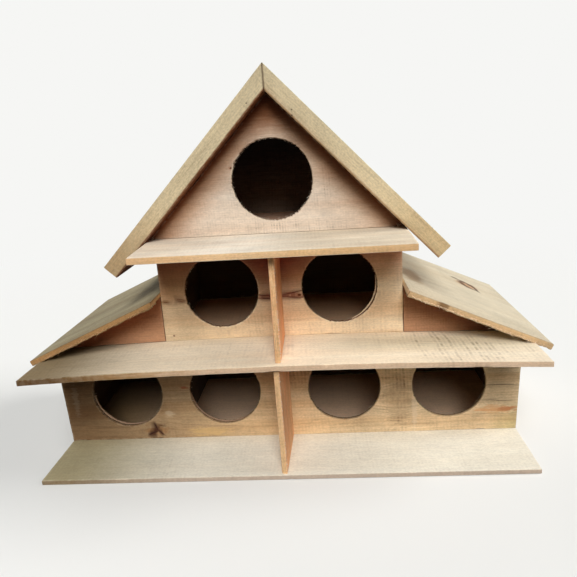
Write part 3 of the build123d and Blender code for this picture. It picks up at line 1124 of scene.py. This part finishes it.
def add_torn_layers(bottom_wall, middle_wall):
    """Veneers that have split off round three holes, each from one angle to another."""
    bottom_holes = sorted(bottom_wall.hole_rims, key=lambda rims: rims[0][0].x)
    middle_right = max(middle_wall.hole_rims, key=lambda rims: rims[0][0].x)
    for name, rims, first, last, gap, width, material in (
        ("middle_right", middle_right, -72, 14, 0.0013, 0.002, veneer_wood),
        ("bottom_first", bottom_holes[0], -178, -62, 0.0013, 0.0028, shaded_veneer),
        ("bottom_second", bottom_holes[1], -176, -52, 0.0011, 0.0026, shaded_veneer),
    ):
        scraps = Scraps(19)
        near = rims[0]
        middle = sum(near, Vector()) / len(near)
        turns = sorted((atan2(at.z - middle.z, at.x - middle.x), (at - middle).length) for at in near)
        angles, radii = zip(*turns)
        first, last = radians(first), radians(last)
        for k in range(LAYER_STEPS + 1):
            share = k / LAYER_STEPS
            angle = first + (last - first) * share
            way = Vector((cos(angle), 0, sin(angle)))
            swell = sin(pi * share) ** 0.6
            outer = float(np.interp(angle, angles, radii)) + 0.0002 - gap * swell
            inner = outer - 0.0005 - swell * (0.72 * width + scraps.pick.uniform(-0.0007, 0.0011))
            for radius, depth in zip((outer, inner, inner, outer), LAYER_DEPTHS):
                scraps.corners.append(middle + way * radius + TO_BACK * depth)
        for k in range(LAYER_STEPS):
            scraps.band(4 * k, 4)
        scraps.faces.append((3, 2, 1, 0))
        scraps.faces.append(tuple(range(4 * LAYER_STEPS, 4 * LAYER_STEPS + 4)))
        add_piece(f"{name}_torn_layer", scraps, material)


def add_wing_splinters():
    """Torn fibres along the wing roofs' lower front edges."""
    for side, sign in SIGNS.items():
        scraps = Scraps(5 + sign)
        draw = scraps.pick.uniform
        down, normal, upper, lower = slope_of(f"{side}_wing_roof")
        for _ in range(WING_SPLINTERS):
            share = draw(0.02, 0.97)
            root = upper.lerp(lower, share) + normal * draw(0.0003, 0.003) + TO_BACK * 0.0006
            heading = 1 if scraps.pick.random() < 0.75 else -1
            way = down * heading + TO_FRONT * draw(0.1, 0.8) - normal * draw(0.1, 0.9)
            length = draw(0.002, 0.0085) * (1.7 if scraps.pick.random() < 0.1 else 1)
            if share > 0.9:
                length *= 0.4
            scraps.splinter(root, way, length, draw(0.0003, 0.0008))
        wood = torn_wood if side == "left" else veneer_wood
        add_piece(f"{side}_wing_splinters", scraps, wood)


def add_hole_splinters(pierced):
    """Torn fibres round the holes: more and longer ones on the far rims."""
    scraps = Scraps(9)
    draw = scraps.pick.uniform
    for board in pierced:
        for rims in board.hole_rims:
            for rim, (count, longest) in zip(rims, HOLE_SPLINTERS):
                middle = sum(rim, Vector()) / len(rim)
                for _ in range(count):
                    root = scraps.pick.choice(rim)
                    inwards = (middle - root).normalized()
                    sideways = TO_RIGHT * draw(-1, 1)
                    way = inwards + sideways + TO_BACK * draw(-0.2, 0.3)
                    length = draw(0.0006, longest)
                    scraps.splinter(root - inwards * ROOT_DEPTH, way, length, draw(0.0003, 0.0007))
    add_piece("hole_splinters", scraps, splinter_wood)


def add_other_splinters():
    """Torn fibres on the dividers' front edges and by the attic panel's lower corners."""
    scraps = Scraps(15)
    draw = scraps.pick.uniform
    for node in ("bottom_landing_divider", "middle_landing_divider"):
        corners = [corner for corner in corners_of(node) if corner.y < -0.05]
        foot = max(corners, key=lambda corner: corner.x - corner.z)
        top = max(corners, key=lambda corner: corner.x + corner.z)
        for _ in range(DIVIDER_SPLINTERS):
            root = foot.lerp(top, draw(0, 1) ** 1.6)
            way = TO_RIGHT + UP * draw(-0.8, 0.8) + TO_BACK * draw(-0.6, 0.3)
            root = root - TO_RIGHT * ROOT_DEPTH + TO_BACK * 0.0003
            scraps.splinter(root, way, draw(0.0008, 0.0032), draw(0.0003, 0.0008))
    add_piece("divider_splinters", scraps, splinter_wood)

    scraps = Scraps(17)
    draw = scraps.pick.uniform
    low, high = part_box("attic_front_panel")
    for x, sign in ((low.x + 0.004, 1), (high.x - 0.012, -1)):
        for _ in range(5):
            root = Vector((x + sign * draw(0, 0.004), low.y - 0.0005, low.z + 0.0004))
            way = UP + TO_RIGHT * draw(-0.7, 0.7) + TO_FRONT * draw(0.1, 0.6)
            scraps.splinter(root, way, draw(0.003, 0.007), draw(0.0005, 0.001))
    add_piece("corner_splinters", scraps, splinter_wood)


def add_nails():
    """The few nail heads that show on the roof's front faces and on the bottom wall."""
    nails = Scraps(3)
    roof_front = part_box("left_roof_plank")[0].y
    for x, z in ((-0.032, 0.6658), (0.0456, 0.6499), (0.0454, 0.6409)):
        nails.nail(Vector((x, roof_front + 0.0002, z)), TO_FRONT)
    nails.nail(Vector((0.452, 0.0002, 0.0489)), TO_FRONT)
    steel, w = new_material("nail_steel")
    where = w.add("TexCoord")["Object"]
    rust = w.ramp(w.cloud(where, 900, 3), 0.4, 0.65)
    inputs = {
        "Base Color": w.mix(rust, shade(74, 66, 60), shade(98, 58, 38)),
        "Roughness": w.ramp(rust, 0, 1, 0.45, 0.9),
        "Metallic": 0.6,
    }
    w.add("OutputMaterial", {"Surface": w.add("BsdfPrincipled", inputs)[0]})
    add_piece("nail_heads", nails, steel)


# --- Floor, background and lights ---
BACKGROUND = shade(246, 246, 244)
PAPER = shade(236, 236, 233)  # the floor as the camera sees it
DIM_PAPER = shade(75, 74, 72)  # the floor as the object sees it
FLOOR_REACH = 12
FLOOR_LEVEL = -0.0004  # a hair below the object's foot
FILL = 0.03  # strength of the even light from all round
FADE = (0.9, 2.6)  # metres from the middle over which the floor fades into the background


def put_stage():
    """A pale floor that fades into a pale background."""
    mesh = bpy.data.meshes.new("studio_floor")
    corners = [(x * FLOOR_REACH, y * FLOOR_REACH, 0) for x, y in ((-1, -1), (1, -1), (1, 1), (-1, 1))]
    mesh.from_pydata(corners, [], [(0, 1, 2, 3)])
    floor = bpy.data.objects.new("studio_floor", mesh)
    floor.location.z = FLOOR_LEVEL
    scene.collection.objects.link(floor)
    material, w = new_material("studio_floor")
    seen = w.seen()
    paper = w.add("BsdfDiffuse", {"Color": w.mix(seen, DIM_PAPER, PAPER)})[0]
    away = w.ramp(w.vector("LENGTH", w.add("TexCoord")["Object"]), *FADE)
    glow = w.add("Emission", {"Color": BACKGROUND})[0]
    mixed = w.add("MixShader", {0: w.times(away, seen), 1: paper, 2: glow})[0]
    w.add("OutputMaterial", {"Surface": mixed})
    mesh.materials.append(material)


def put_lights():
    """Two soft keys from the upper front, a light from the right, a dim back one and fill.

    In degrees: how far round from the front, how high, and how wide its disc is.
    """
    for name, turn, height, softness, strength in (
        ("high_key", 0, 50, 22, 0.48),
        ("low_key", 8, 36, 24, 0.5),
        ("side", 97, 31, 32, 0.64),
        ("back", 200, 35, 40, 0.12),
    ):
        lamp = bpy.data.lights.new(name, "SUN")
        lamp.energy = pi * strength
        lamp.angle = radians(softness)
        light = bpy.data.objects.new(name, lamp)
        turn, height = radians(turn), radians(height)
        level = cos(height)
        towards = Vector((sin(turn) * level, -cos(turn) * level, sin(height)))
        light.rotation_euler = towards.to_track_quat("Z", "Y").to_euler()
        scene.collection.objects.link(light)
    world = bpy.data.worlds.new("studio")
    scene.world = world
    world.use_nodes = True
    w = Wires(world.node_tree)
    strength = w.math("MULTIPLY_ADD", w.seen(), 1 - FILL, FILL)
    glow = w.add("Background", {"Color": BACKGROUND, "Strength": strength})[0]
    w.add("OutputWorld", {"Surface": glow})


splinter_wood = board_material("splinter_wood", TO_RIGHT, UP, ATTIC_FLOOR, 99)
torn_wood = board_material("torn_wood", TO_RIGHT, UP, TORN, 98)
veneer_wood = board_material("veneer_wood", TO_RIGHT, UP, VENEER, 97)
shaded_veneer = board_material("shaded_veneer", TO_RIGHT, UP, SHADED_VENEER, 96)
put_camera()
put_stage()
put_lights()
pierced = [build_bottom_wall(), build_middle_wall(), build_attic_panel()]
build_plain_walls()
build_insides()
build_floors()
build_dividers()
build_roofs()
add_wing_splinters()
add_hole_splinters(pierced)
add_other_splinters()
add_torn_layers(*pierced[:2])
add_nails()

scene.view_settings.view_transform = "Standard"
